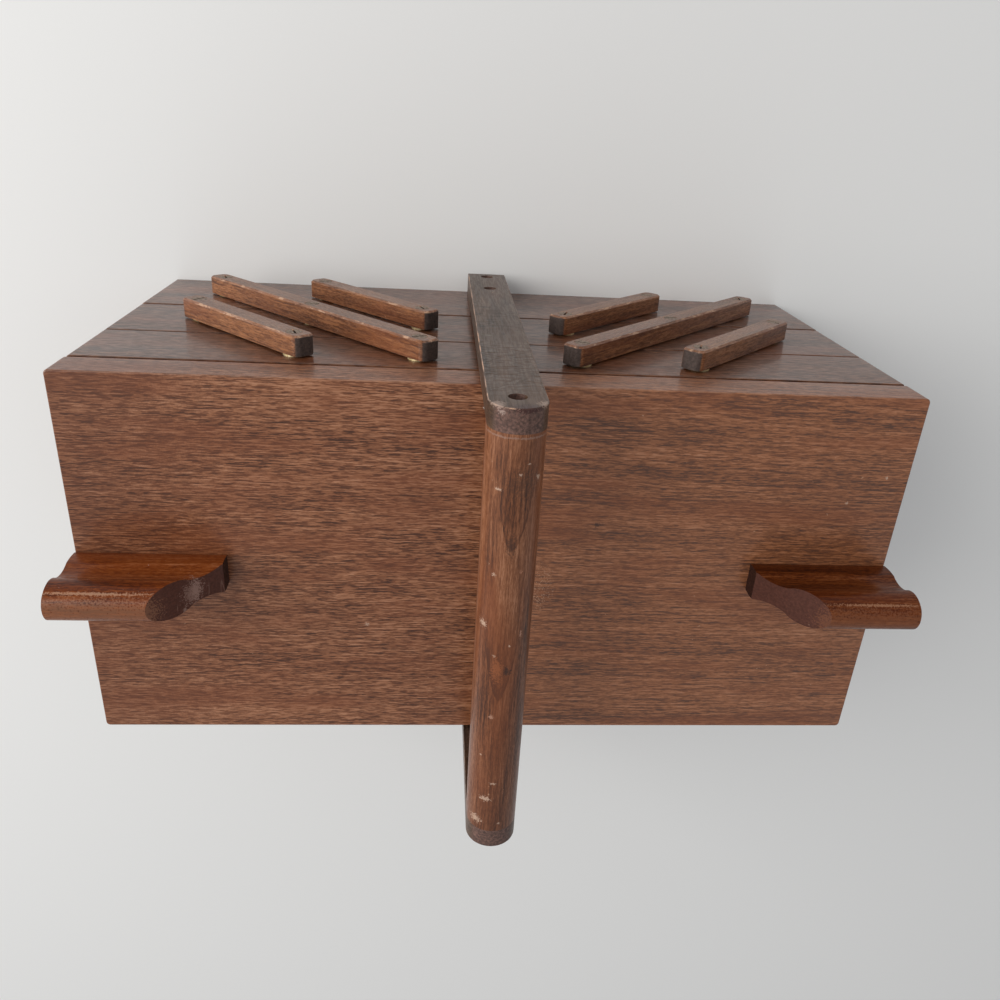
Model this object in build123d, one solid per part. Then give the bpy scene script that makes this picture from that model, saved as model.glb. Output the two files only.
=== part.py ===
from build123d import *
import math
import os

# Sewing carrier with two lids, in millimetres. A shallow base carries two pairs
# of trays on swinging arms, and the upper pair has the lids. The frame has its
# origin under the middle of the base, +Z up, +X to the right of the front face
# and the front at -Y. The right half is modelled, and the left half and the back
# are its mirror images.

# Case
case_length = 423.0          # over both halves
case_depth = 206.0           # front to back over the base
board = 9.5                  # thickness of the side and end boards
base_height = 73.5
lower_height = 61.5
upper_height = 50.5
layer_gap = 1.5              # between one layer and the trays above it
centre_gap = 1.0             # between the left and right halves
tray_setback = 0.2           # of a tray's front and back behind the base's
base_panel = 6.0             # plywood under the base
tray_panel = 4.0             # plywood under each tray
case_round = 1.6             # upright corners of the case
case_ease = 0.4              # bevel on the long arrises of the case

# Lids
lid_thickness = 22.0
lid_gap = 2.5                # between the upper trays and the lids
lid_overhang = 1.0           # past the outer end of the case
lid_corner = 2.2             # upright corners
lid_round = 0.8              # arrises of the top
lid_ease = 0.5               # bevel on the arrises below
pad_radius = 4.0             # pads that carry the free end of each lid
pad_spread = 120.0
pad_play = 0.3

# Pulls: a moulding along X, cut off upright at the foot and then on the slant
pull_length = 75.0
pull_foot_width = 15.6
pull_foot_belly = 16.4
pull_foot_height = 11.0
pull_shoulder_width = 12.4
pull_shoulder_height = 16.5
pull_neck_width = 12.2
pull_neck_height = 20.0
pull_throat_width = 14.4
pull_throat_height = 24.5
pull_ledge_width = 16.6
pull_ledge_height = 26.0
pull_bulb_width = 19.2
pull_bulb_height = 32.0
pull_crown_width = 14.8
pull_crown_height = 38.7
pull_height = 42.8
pull_cut_height = 10.0       # the slant starts this far above the lid
pull_cut_run = 28.5          # and leans in by this much at the top

# Arms and their pivots
pivot_inner = 42.0           # innermost pivot of each row, from the middle
pivot_pitch = 63.0           # from one pivot to the next in a row
base_pivot_height = 42.0
arm_rise = 65.0              # from a row of pivots to the next row up
arm_width = 12.7
arm_thickness = 10.5
arm_end = 9.5                # past the last pivot
arm_corner = 4.0
arm_ease = 1.0
arm_play = 0.3               # between an arm and its washer
washer_radius = 7.9
washer = 0.5                 # thickness on the base
bore_clearance = 0.08        # radial, round a pivot screw
seat_clearance = 0.3         # round a screw head in an arm

# Screws, slotted and countersunk
screw_length = 19.0
screw_radius = 2.25
screw_head_radius = 4.0
slot_width = 1.1
slot_depth = 0.9
pilot_clearance = 0.03
tip_clearance = 0.5          # past the tip of a screw in the grip

# Handle
post_width = 25.0
post_thickness = 14.0        # where it lies on the base
post_relief = 3.2            # taken off its back above the base
post_foot = 8.0              # from the underside of the base
post_ease = 0.4
post_screw_low = 17.5
post_screw_high = 56.0
handle_top = 288.0
grip_height = 28.0
grip_round = 10.0            # lower corners of the grip
grip_screw_drop = 15.0       # from the top of the handle
screw_recess = 3.2           # head below the face of the post
recess_clearance = 0.1       # round a screw head in a post

# Butt hinges at the outer ends of the lids
hinge_width = 36.0
hinge_spread = 120.0
leaf = 1.1
knuckle_radius = 2.0
hinge_pin_radius = 1.0
leaf_setback = 0.5           # of a leaf's inner edge behind the board's
hinge_clearance = 0.3
pin_clearance = 0.06

cut_over = 1.0               # how far a cutting shape runs past the face

# Sizes that follow
lap = board / 2              # long board left outside the end board let into it
tray_depth = case_depth - 2 * tray_setback
end_x = case_length / 2
lid_end = end_x + lid_overhang
seam_x = centre_gap / 2
lower_z = base_height + layer_gap
upper_z = lower_z + lower_height + layer_gap
lid_z = upper_z + upper_height + lid_gap
lid_top = lid_z + lid_thickness
link = math.hypot(pivot_pitch, arm_rise)
pivot_x = [pivot_inner + i * pivot_pitch for i in range(3)]
pivot_z = [base_pivot_height + i * arm_rise for i in range(3)]
arm_back = case_depth / 2 + washer + arm_play
arm_front = arm_back + arm_thickness
pilot_radius = screw_radius + pilot_clearance
head_height = screw_head_radius - screw_radius
post_front = case_depth / 2 + post_thickness
grip_end = case_depth / 2 + post_relief
post_screw_heights = (post_screw_low, post_screw_high, handle_top - grip_screw_drop)
hinge_x = lid_end + knuckle_radius + hinge_clearance
hinge_z = lid_z - lid_gap / 2


def block(x0, x1, y0, y1, z0, z1):
    """Straight block between two opposite corners."""
    return Pos((x0 + x1) / 2, (y0 + y1) / 2, (z0 + z1) / 2) * Box(x1 - x0, y1 - y0, z1 - z0)


def outline(x0, x1, depth, z0, z1, corner, ease):
    """Block with its upright corners rounded and its other outer arrises bevelled."""
    body = block(x0, x1, -depth / 2, depth / 2, z0, z1)
    body = fillet(body.edges().filter_by(Axis.Z), corner)
    flat = body.faces().filter_by(Axis.Z)
    return chamfer(flat.edges(), ease)


def rod(radius, y0, y1, x, z):
    """Cylinder along Y."""
    return Pos(x, (y0 + y1) / 2, z) * Rot(90, 0, 0) * Cylinder(radius, y1 - y0)


def across_x(part):
    return mirror(part, about=Plane.YZ)


def across_y(part):
    return mirror(part, about=Plane.XZ)


def group(name, solids):
    """One node that holds several separate solids."""
    return Compound(label=name, children=[s for part in solids for s in part.solids()])


# Boxes --------------------------------------------------------------------

def open_box(x0, x1, depth, z0, z1, panel, pivots, row_z, more_holes=()):
    """Five boards: the long ones run through, the ends and the floor are let in."""
    half = depth / 2
    shell = outline(x0, x1, depth, z0, z1, case_round, case_ease)
    floor = block(x0 + lap, x1 - lap, -half + lap, half - lap, z0, z0 + panel)
    low_end = block(x0, x0 + board, -half + lap, half - lap, z0, z1)
    high_end = block(x1 - board, x1, -half + lap, half - lap, z0, z1)
    long_board = block(x0, x1, -half, -half + board, z0, z1) - low_end - high_end - floor
    for x, z in [(x, row_z) for x in pivots] + list(more_holes):
        long_board -= rod(pilot_radius, -half - cut_over, -half + board + cut_over, x, z)
    front = long_board & shell
    return {
        "front": front,
        "back": across_y(front),
        "low_end": (low_end - floor) & shell,
        "high_end": (high_end - floor) & shell,
        "floor": floor,
    }


# Screws, washers and arms -------------------------------------------------

def screw(x, z, head_y, turn):
    """Screw from the front, its head's face at head_y and its slot turned."""
    with BuildPart() as body:
        with BuildSketch(Plane.XZ):
            with BuildLine():
                Polyline((0, 0), (screw_head_radius, 0), (screw_radius, head_height),
                         (screw_radius, screw_length), (0, screw_length), close=True)
            make_face()
        revolve(axis=Axis.Z)
    reach = screw_head_radius + cut_over
    slot = Rot(0, 0, turn) * block(-reach, reach, -slot_width / 2, slot_width / 2, -cut_over, slot_depth)
    # the profile runs down from the head along +Z, which is turned to run into the work
    return Pos(x, head_y, z) * Rot(-90, 0, 0) * (body.part - slot)


def spacer(x, z, face_y):
    """Washer between a face and the arm in front of it."""
    front = -(arm_back - arm_play)
    hole = rod(pilot_radius, front - cut_over, face_y + cut_over, x, z)
    return rod(washer_radius, front, face_y, x, z) - hole


def arm(foot_x, foot_z, steps):
    """Flat arm in front of the case, leaning inwards over a number of pivot rows."""
    face = Plane(origin=(foot_x, -arm_back, foot_z), x_dir=(-pivot_pitch, 0, arm_rise), z_dir=(0, -1, 0))
    bar = extrude(Pos(steps * link / 2, 0) * RectangleRounded(steps * link + 2 * arm_end, arm_width, arm_corner),
                  amount=arm_thickness)
    bar = chamfer(bar.faces().sort_by(Axis.Z)[-1].edges(), arm_ease)
    seat_radius = screw_head_radius + seat_clearance
    bore_radius = screw_radius + bore_clearance
    seat_height = seat_radius - bore_radius
    for i in range(steps + 1):
        bar -= Pos(i * link, 0, arm_thickness / 2) * Cylinder(bore_radius, arm_thickness + 2 * cut_over)
        bar -= Pos(i * link, 0, arm_thickness - seat_height / 2) * Cone(bore_radius, seat_radius, seat_height)
    return face * bar


# Lids, pulls and hinges ---------------------------------------------------

def lid_board():
    body = block(seam_x, lid_end, -tray_depth / 2, tray_depth / 2, lid_z, lid_top)
    body = fillet(body.edges().filter_by(Axis.Z), lid_corner)
    body = fillet(body.faces().sort_by(Axis.Z)[-1].edges(), lid_round)
    return chamfer(body.faces().sort_by(Axis.Z)[0].edges(), lid_ease)


def pull():
    """Moulded strip: a foot, a waist for the fingers and a round bead on top."""
    foot = pull_foot_width / 2
    with BuildPart() as strip:
        with BuildSketch(Plane.YZ):
            with BuildLine() as side:
                ThreePointArc((foot, 0), (pull_foot_belly / 2, pull_foot_height / 2), (foot, pull_foot_height))
                ThreePointArc((foot, pull_foot_height),
                              (0.28 * pull_neck_width + 0.22 * pull_foot_width,
                               0.55 * pull_foot_height + 0.45 * pull_shoulder_height),
                              (pull_shoulder_width / 2, pull_shoulder_height))
                ThreePointArc((pull_shoulder_width / 2, pull_shoulder_height),
                              (pull_neck_width / 2, pull_neck_height),
                              (pull_throat_width / 2, pull_throat_height))
                Line((pull_throat_width / 2, pull_throat_height), (pull_ledge_width / 2, pull_ledge_height))
                ThreePointArc((pull_ledge_width / 2, pull_ledge_height),
                              (pull_bulb_width / 2, pull_bulb_height),
                              (pull_crown_width / 2, pull_crown_height))
                mirror(side.line, about=Plane.YZ)
                ThreePointArc((pull_crown_width / 2, pull_crown_height), (0, pull_height),
                              (-pull_crown_width / 2, pull_crown_height))
                Line((-foot, 0), (foot, 0))
            make_face()
        extrude(amount=pull_length)
    lean = pull_cut_run / (pull_height - pull_cut_height)
    cut = Polyline((0, pull_cut_height), (pull_cut_run + lean * cut_over, pull_height + cut_over),
                   (-cut_over, pull_height + cut_over), (-cut_over, pull_cut_height), close=True)
    cut = extrude(Plane.XZ * make_face(cut), amount=pull_bulb_width, both=True)
    return Pos(lid_end - pull_length, 0, lid_top) * (strip.part - cut)


def butt_hinge(y):
    """Tray leaf with the pin in its two outer knuckles, and lid leaf with the middle one."""
    edge = hinge_width / 2
    third = hinge_width / 6
    reach = end_x - board + leaf_setback
    middle = third - hinge_clearance / 2
    outer = third + hinge_clearance / 2
    low = upper_z + upper_height
    tray_leaf = block(reach, hinge_x, -edge, edge, low, low + leaf)
    lid_leaf = block(reach, hinge_x, -edge, edge, lid_z - leaf, lid_z)
    free_radius = knuckle_radius + hinge_clearance
    tray_leaf -= rod(free_radius, -outer, outer, hinge_x, hinge_z)
    for side in (-1, 1):
        y0, y1 = sorted((side * outer, side * edge))
        tray_leaf += rod(knuckle_radius, y0, y1, hinge_x, hinge_z)
        y0, y1 = sorted((side * middle, side * (edge + cut_over)))
        lid_leaf -= rod(free_radius, y0, y1, hinge_x, hinge_z)
    lid_leaf += rod(knuckle_radius, -middle, middle, hinge_x, hinge_z)
    lid_leaf -= rod(hinge_pin_radius + pin_clearance, -edge, edge, hinge_x, hinge_z)
    tray_leaf += rod(hinge_pin_radius, -edge, edge, hinge_x, hinge_z)
    return Pos(0, y, 0) * tray_leaf, Pos(0, y, 0) * lid_leaf


# Handle -------------------------------------------------------------------

def tombstone(z0, z1):
    """Outline of the handle's section, round at its top."""
    half = post_width / 2
    return Pos(0, (z0 + z1 - half) / 2) * Rectangle(post_width, z1 - half - z0) + Pos(0, z1 - half) * Circle(half)


def post():
    """Flat post up the front of the base, round at its top and cut back above the base."""
    face = -case_depth / 2
    body = extrude(Plane.XZ.offset(-face) * tombstone(post_foot, handle_top), amount=post_thickness)
    body -= block(-post_width, post_width, face - post_relief, face + cut_over, base_height, handle_top + cut_over)
    body = chamfer(body.faces().sort_by(Axis.Y)[0].edges(), post_ease)
    recess_radius = screw_head_radius + recess_clearance
    head_y = -post_front + screw_recess
    for z in post_screw_heights:
        body -= rod(recess_radius, -post_front - cut_over, head_y, 0, z)
        body -= rod(pilot_radius, head_y, face + cut_over, 0, z)
        body -= (Pos(0, head_y + head_height / 2, z) * Rot(90, 0, 0)
                 * Cone(screw_radius, recess_radius, head_height))
    return body


def grip():
    """Bar between the posts, round like their tops above and eased below."""
    body = extrude(Plane.XZ * tombstone(handle_top - grip_height, handle_top), amount=grip_end, both=True)
    body = fillet(body.edges().filter_by(Axis.Y).group_by(Axis.Z)[0], grip_round)
    for side in (-1, 1):
        reach = post_front - screw_recess - screw_length - tip_clearance
        y0, y1 = sorted((side * reach, side * (grip_end + cut_over)))
        body -= rod(pilot_radius, y0, y1, 0, handle_top - grip_screw_drop)
    return body


# Assembly -----------------------------------------------------------------

nodes = {}

base_pivots = [-x for x in pivot_x[1:]] + pivot_x[1:]
base = open_box(-end_x, end_x, case_depth, 0, base_height, base_panel, base_pivots, pivot_z[0],
                [(0, post_screw_low), (0, post_screw_high)])
nodes["base_front"] = base["front"]
nodes["base_back"] = base["back"]
nodes["base_end_left"] = base["low_end"]
nodes["base_end_right"] = base["high_end"]
nodes["base_bottom"] = base["floor"]

nodes["handle_post_front"] = post()
nodes["handle_post_back"] = across_y(nodes["handle_post_front"])
nodes["handle_grip"] = grip()

slot_turns = (35, 100, -20, 70, 10, 125, 55)
head_y = -arm_front
front_screws = [screw(x, pivot_z[0], head_y, slot_turns[i]) for i, x in enumerate(base_pivots)]
post_head_y = -post_front + screw_recess
for i, z in enumerate(post_screw_heights):
    front_screws.append(screw(0, z, post_head_y, slot_turns[4 + i]))
nodes["base_screws"] = group("base_screws", front_screws + [across_y(s) for s in front_screws])
front_washers = [spacer(x, pivot_z[0], -case_depth / 2) for x in base_pivots]
nodes["base_washers"] = group("base_washers", front_washers + [across_y(w) for w in front_washers])

right = {}
trays = (
    ("lower_tray", lower_z, lower_height, pivot_x, pivot_z[1]),
    ("upper_tray", upper_z, upper_height, pivot_x[:2], pivot_z[2]),
)
for name, z0, height, pivots, row_z in trays:
    tray = open_box(seam_x, end_x, tray_depth, z0, z0 + height, tray_panel, pivots, row_z)
    right[name + "_front"] = tray["front"]
    right[name + "_back"] = tray["back"]
    right[name + "_inner_end"] = tray["low_end"]
    right[name + "_outer_end"] = tray["high_end"]
    right[name + "_bottom"] = tray["floor"]
    screws = [screw(x, row_z, head_y, slot_turns[i + len(pivots)]) for i, x in enumerate(pivots)]
    washers = [spacer(x, row_z, -tray_depth / 2) for x in pivots]
    right[name + "_screws"] = group(name, screws + [across_y(s) for s in screws])
    right[name + "_washers"] = group(name, washers + [across_y(w) for w in washers])

arms = (
    ("long_arm", pivot_x[2], pivot_z[0], 2),
    ("lower_short_arm", pivot_x[1], pivot_z[0], 1),
    ("upper_short_arm", pivot_x[2], pivot_z[1], 1),
)
for name, x, z, steps in arms:
    right[name + "_front"] = arm(x, z, steps)
    right[name + "_back"] = across_y(right[name + "_front"])

right["lid_board"] = lid_board()
right["lid_pull"] = pull()
pad_height = lid_gap - pad_play
pads = [Pos(seam_x + board / 2, y, upper_z + upper_height + pad_height / 2) * Cylinder(pad_radius, pad_height)
        for y in (-pad_spread / 2, pad_spread / 2)]
right["lid_pads"] = group("lid_pads", pads)
hinges = [butt_hinge(y) for y in (-hinge_spread / 2, hinge_spread / 2)]
right["hinge_tray_leaves"] = group("hinge_tray_leaves", [h[0] for h in hinges])
right["hinge_lid_leaves"] = group("hinge_lid_leaves", [h[1] for h in hinges])

for name, part in right.items():
    nodes[name + "_right"] = part
    nodes[name + "_left"] = across_x(part)

os.makedirs("parts", exist_ok=True)
for name, part in nodes.items():
    part.label = name
    export_step(part, f"parts/{name}.step")

swing = 2 * math.degrees(math.atan2(pivot_pitch, arm_rise))
print(f"{len(nodes)} nodes, link {link:.2f} mm, swing {swing:.1f} deg, lid top {lid_top:.1f} mm")
print(f"hinge axis x {hinge_x:.2f} z {hinge_z:.2f}, pivots x {pivot_x} z {pivot_z}")
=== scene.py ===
import bpy
import bmesh
import math
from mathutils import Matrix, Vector


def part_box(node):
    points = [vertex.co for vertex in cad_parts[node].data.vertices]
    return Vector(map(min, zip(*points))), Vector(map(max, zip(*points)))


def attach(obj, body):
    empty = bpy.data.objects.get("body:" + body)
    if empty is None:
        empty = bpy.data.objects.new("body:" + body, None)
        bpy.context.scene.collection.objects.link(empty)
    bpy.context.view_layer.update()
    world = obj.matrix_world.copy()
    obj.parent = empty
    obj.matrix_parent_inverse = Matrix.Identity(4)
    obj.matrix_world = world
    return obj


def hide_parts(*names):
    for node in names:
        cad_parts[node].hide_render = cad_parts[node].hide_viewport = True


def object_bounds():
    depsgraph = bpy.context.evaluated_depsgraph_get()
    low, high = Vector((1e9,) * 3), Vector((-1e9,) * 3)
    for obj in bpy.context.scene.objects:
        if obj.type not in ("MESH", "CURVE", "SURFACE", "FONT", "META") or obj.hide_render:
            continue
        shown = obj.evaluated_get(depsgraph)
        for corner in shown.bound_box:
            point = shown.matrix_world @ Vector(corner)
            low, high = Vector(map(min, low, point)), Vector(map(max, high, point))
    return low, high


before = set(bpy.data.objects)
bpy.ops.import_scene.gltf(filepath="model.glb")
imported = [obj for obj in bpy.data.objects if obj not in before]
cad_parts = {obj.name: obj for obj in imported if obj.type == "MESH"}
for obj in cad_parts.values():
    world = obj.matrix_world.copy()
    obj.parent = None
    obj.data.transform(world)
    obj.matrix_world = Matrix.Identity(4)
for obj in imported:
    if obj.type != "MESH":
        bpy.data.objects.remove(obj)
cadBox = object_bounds()
print("frame loaded with", len(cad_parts), "nodes")

# the camera hangs close above the front edge, turned nearly upside down
cameraLook = {"place": (0.03383, -0.22410, 0.59780), "turn": (-25.455, -3.623, -176.845), "lens": 30.317,
              "nearest": 0.01, "photoWidth": 1000}
cameraData = bpy.data.cameras.new("camera")
cameraData.lens = cameraLook["lens"]
cameraData.clip_start = cameraLook["nearest"]
camera = bpy.data.objects.new("camera", cameraData)
camera.location = cameraLook["place"]
camera.rotation_euler = [math.radians(a) for a in cameraLook["turn"]]
bpy.context.scene.collection.objects.link(camera)
bpy.context.scene.camera = camera
bpy.context.scene.view_settings.view_transform = "Standard"
print("camera placed")


# small helpers for shader trees
def newMaterial(name):
    material = bpy.data.materials.new(name)
    material.use_nodes = True
    return material, material.node_tree, material.node_tree.nodes["Principled BSDF"]


def plug(tree, value, socket):
    if isinstance(value, bpy.types.NodeSocket):
        tree.links.new(value, socket)
    else:
        socket.default_value = value


def attribute(tree, name, output):
    node = tree.nodes.new("ShaderNodeAttribute")
    node.attribute_name = name
    return node.outputs[output]


def maths(tree, operation, a, b=0.0, clamp=False):
    node = tree.nodes.new("ShaderNodeMath")
    node.operation = operation
    node.use_clamp = clamp
    plug(tree, a, node.inputs[0])
    plug(tree, b, node.inputs[1])
    return node.outputs[0]


def plus(tree, a, b):
    return maths(tree, "ADD", a, b)


def minus(tree, a, b):
    return maths(tree, "SUBTRACT", a, b)


def times(tree, a, b):
    return maths(tree, "MULTIPLY", a, b)


def vectors(tree, operation, a, b=(0, 0, 0), scale=1.0):
    node = tree.nodes.new("ShaderNodeVectorMath")
    node.operation = operation
    plug(tree, a, node.inputs[0])
    if operation == "SCALE":
        node.inputs["Scale"].default_value = scale
    elif operation != "LENGTH":
        plug(tree, b, node.inputs[1])
    return node.outputs["Value" if operation == "LENGTH" else "Vector"]


# how far a point is from a spot that is squeezed along each axis
def distance(tree, place, spot, squeeze):
    away = vectors(tree, "SUBTRACT", place, spot)
    return vectors(tree, "LENGTH", vectors(tree, "MULTIPLY", away, squeeze))


def centred(tree, value, weight):
    # a noise of 0.3 to 0.7 becomes a push of half the weight either way
    return times(tree, minus(tree, value, 0.5), weight * 2.5)


def between(tree, value, low, high, toLow=0.0, toHigh=1.0):
    node = tree.nodes.new("ShaderNodeMapRange")
    node.interpolation_type = "SMOOTHSTEP"
    plug(tree, value, node.inputs["Value"])
    node.inputs["From Min"].default_value = low
    node.inputs["From Max"].default_value = high
    node.inputs["To Min"].default_value = toLow
    node.inputs["To Max"].default_value = toHigh
    return node.outputs["Result"]


def zone(tree, level, low, high, soft):
    above = between(tree, level, low - soft, low + soft)
    return times(tree, above, between(tree, level, high + soft, high - soft))


# stretched noise; with limits, it is the soft mask between them
def pattern(tree, vector, scale, shift=(0, 0, 0), detail=2.0, roughness=0.5, distortion=0.0, limits=None,
            output="Fac"):
    stretched = tree.nodes.new("ShaderNodeMapping")
    tree.links.new(vector, stretched.inputs["Vector"])
    stretched.inputs["Scale"].default_value = scale
    stretched.inputs["Location"].default_value = shift
    node = tree.nodes.new("ShaderNodeTexNoise")
    tree.links.new(stretched.outputs["Vector"], node.inputs["Vector"])
    node.inputs["Scale"].default_value = 1.0
    node.inputs["Detail"].default_value = detail
    node.inputs["Roughness"].default_value = roughness
    node.inputs["Distortion"].default_value = distortion
    return between(tree, node.outputs[output], *limits) if limits else node.outputs[output]


def tint(tree, value, stops):
    node = tree.nodes.new("ShaderNodeValToRGB")
    plug(tree, value, node.inputs["Fac"])
    elements = node.color_ramp.elements
    while len(elements) < len(stops):
        elements.new(0.5)
    for element, (position, colour) in zip(elements, stops):
        element.position = position
        element.color = (*colour, 1)
    return node.outputs["Color"]


def ramp(tree, value, stops):
    return tint(tree, value, [(position, (level, level, level)) for position, level in stops])


def blend(tree, amount, first, second):
    node = tree.nodes.new("ShaderNodeMix")
    node.data_type = "RGBA"
    plug(tree, amount, node.inputs["Factor"])
    for value, socket in ((first, node.inputs[6]), (second, node.inputs[7])):
        plug(tree, value if isinstance(value, bpy.types.NodeSocket) else (*value, 1), socket)
    return node.outputs[2]


def addBump(tree, shader, height, strength, reach):
    bump = tree.nodes.new("ShaderNodeBump")
    bump.inputs["Strength"].default_value = strength
    bump.inputs["Distance"].default_value = reach
    tree.links.new(height, bump.inputs["Height"])
    tree.links.new(bump.outputs["Normal"], shader.inputs["Normal"])
    return bump


# walnut, read in each piece's own grain space: x along the grain, y across, z through,
# with the growth rings as cylinders round the tree's heart, given to each piece as "heart"
walnutLook = {
    "line": (0.050, 0.018, 0.009), "deep": (0.100, 0.033, 0.013), "middle": (0.160, 0.056, 0.023),
    "light": (0.225, 0.088, 0.040), "pale": (0.310, 0.140, 0.075), "red": (0.190, 0.052, 0.016),
    "endGrain": (0.060, 0.024, 0.015), "worn": (0.330, 0.180, 0.120), "chipped": (0.500, 0.300, 0.190),
    "rings": 110.0, "ringDepth": 0.22, "ringWarp": 0.014, "fineRings": 0.10, "fineness": 4.3,
    "bands": 0.35, "fibre": 0.50, "fibreWidth": 620.0, "dash": 0.26, "dashLength": 130.0, "dashWidth": 900.0,
    "redness": 0.40, "wear": 0.35, "chips": 0.0, "nicks": 0.5, "nickSize": 420.0,
    "ripple": 0.0, "cracks": 0.0, "scratches": 0.0, "endSpeckle": 0.5, "endDarkAndShade": 0.15, "endRings": 0.06,
    "dustAndSheen": 0.0, "dustAndSheenColour": (0.170, 0.135, 0.115),
    "roughness": 0.40, "endDull": 0.25, "rubDull": 0.3, "poreDull": 0.10,
    "specular": 0.35, "coat": 0.35, "coatRoughness": 0.12,
    "bump": 0.10, "bumpReach": 0.0003, "relief": 1.0, "fibreHeight": 0.6, "nickHeight": 1.5,
    "splitHeight": 0.7,
}
# noise in the grain space, with its scale in repeats per metre
grainNoise = {
    "wave": {"scale": (5, 14, 14), "detail": 2.5, "output": "Color"},
    "ringPatch": {"scale": (6, 30, 30), "shift": (3, 1, 0), "limits": (0.36, 0.64, 0.30, 1.0)},
    "band": {"scale": (7, 80, 80), "detail": 3.0, "roughness": 0.55},
    "redPatch": {"scale": (12, 60, 60), "shift": (0, 4, 2), "limits": (0.45, 0.68)},
    "split": {"scale": (105, 16, 16), "shift": (3, 3, 9), "roughness": 0.7},
    "speckle": {"scale": (500, 800, 800), "detail": 3.0, "roughness": 0.6},
    "scuff": {"scale": (110, 330, 330), "shift": (1, 7, 3), "detail": 3.0, "roughness": 0.65},
    "nickPatch": {"scale": (18, 26, 26), "shift": (2, 2, 8), "limits": (0.52, 0.60)},
    "cloud": {"scale": (14, 30, 30), "shift": (7, 7, 7), "detail": 3.0, "limits": (0.3, 0.7, -0.05, 0.06)},
    "ripple": {"scale": (190, 120, 120), "shift": (2, 6, 1), "detail": 2.5, "roughness": 0.55,
               "distortion": 0.6},
}
# noise over the object's own coordinates
placeNoise = {
    "hair": {"scale": (160, 25, 60), "shift": (6, 1, 2), "detail": 1.0},
    "hairPatch": {"scale": (70, 70, 70), "shift": (3, 3, 1), "limits": (0.50, 0.58)},
    "dustAndSheen": {"scale": (900, 900, 900), "shift": (2, 5, 5), "detail": 3.0, "roughness": 0.7,
             "limits": (0.34, 0.64, 0.35, 1.0)},
    "grit": {"scale": (1500, 1500, 1500), "detail": 1.0, "limits": (0.56, 0.66)},
    "ragged": {"scale": (1100, 1100, 1100), "shift": (4, 4, 4), "detail": 3.0, "roughness": 0.75},
}
# the masks' lower and upper limits, and how dark a ring is from its start to its end
limits = {
    "dash": (0.57, 0.43), "split": (0.020, 0.004), "hair": (0.012, 0.003), "end": (0.50, 0.74),
    "square": (0.80, 0.99), "rub": (0.36, 0.60), "chip": (0.57, 0.60), "nick": (0.735, 0.755),
}
ringShapes = {
    "coarse": ((0.0, 0.0), (0.45, 0.12), (0.80, 0.62), (0.92, 1.0), (1.0, 0.0)),
    "fine": ((0.0, 0.0), (0.6, 0.3), (0.9, 1.0), (1.0, 0.0)),
    "nested": ((0.0, 0.0), (0.6, 0.25), (0.9, 1.0), (1.0, 0.0)),
}
# heights on the posts, in metres: lowest, highest and how softly they end
postZones = {"cracks": (0.098, 0.162, 0.012), "ripple": (0.195, 0.262, 0.020)}
# fibres and nicks are longer than they are wide, and the tone is lifted to make up for the dark lines
lengthShare = {"fibre": 0.05, "nick": 0.7}
toneLift = {"dash": 0.45, "ringDepth": 0.2}
endShades = (0.25, 1.9)
archLook = {
    "wobble": 0.0035, "wobbleScale": (120, 70, 120), "fadeFrom": 0.45, "outlineIn": (0.0, 0.0012),
    "outlineOut": (0.0060, 0.0022), "nested": 130.0, "nestedDark": 0.35, "nestedFrom": (0.0, 0.004),
    "body": (0.0, 0.008, 0.0, 0.45),
}


def ringFigure(tree, grain, look):
    # growth rings, wavy along the board, fading in and out, with finer ones between
    wave = vectors(tree, "SUBTRACT", pattern(tree, grain, **grainNoise["wave"]), (0.5, 0.5, 0.5))
    bent = vectors(tree, "SCALE", wave, scale=look["ringWarp"] * 2)
    around = vectors(tree, "ADD", attribute(tree, "heart", "Vector"), bent)
    radius = vectors(tree, "LENGTH", vectors(tree, "MULTIPLY", around, (0, 1, 1)))
    ring = ramp(tree, maths(tree, "FRACT", times(tree, radius, look["rings"])), ringShapes["coarse"])
    ring = times(tree, ring, pattern(tree, grain, **grainNoise["ringPatch"]))
    finePhase = maths(tree, "FRACT", times(tree, radius, look["rings"] * look["fineness"]))
    return ring, ramp(tree, finePhase, ringShapes["fine"])


def archFigure(tree, place, sides, arch):
    # where the rings run out at a slant they show as nested arches with a dark tip
    wobble = pattern(tree, place, archLook["wobbleScale"], (1, 1, arch["length"]))
    sideways = minus(tree, sides["X"], arch["tip"][0])
    back = minus(tree, arch["tip"][1], sides["Y"])
    inside = minus(tree, back, maths(tree, "DIVIDE", times(tree, sideways, sideways), arch["narrow"]))
    inside = plus(tree, inside, centred(tree, wobble, archLook["wobble"]))
    fade = between(tree, back, arch["length"], arch["length"] * archLook["fadeFrom"])
    outline = between(tree, inside, *archLook["outlineIn"])
    outline = times(tree, outline, between(tree, inside, *archLook["outlineOut"]))
    nested = ramp(tree, maths(tree, "FRACT", times(tree, inside, archLook["nested"])), ringShapes["nested"])
    nested = times(tree, nested, archLook["nestedDark"])
    nested = times(tree, nested, between(tree, inside, *archLook["nestedFrom"]))
    arched = plus(tree, plus(tree, outline, nested), between(tree, inside, *archLook["body"]))
    return times(tree, times(tree, arched, fade), arch["dark"])


def hairlines(tree, noise, width):
    # thin lines where a noise passes its middle
    return between(tree, maths(tree, "ABSOLUTE", minus(tree, noise, 0.5)), *width)


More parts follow.
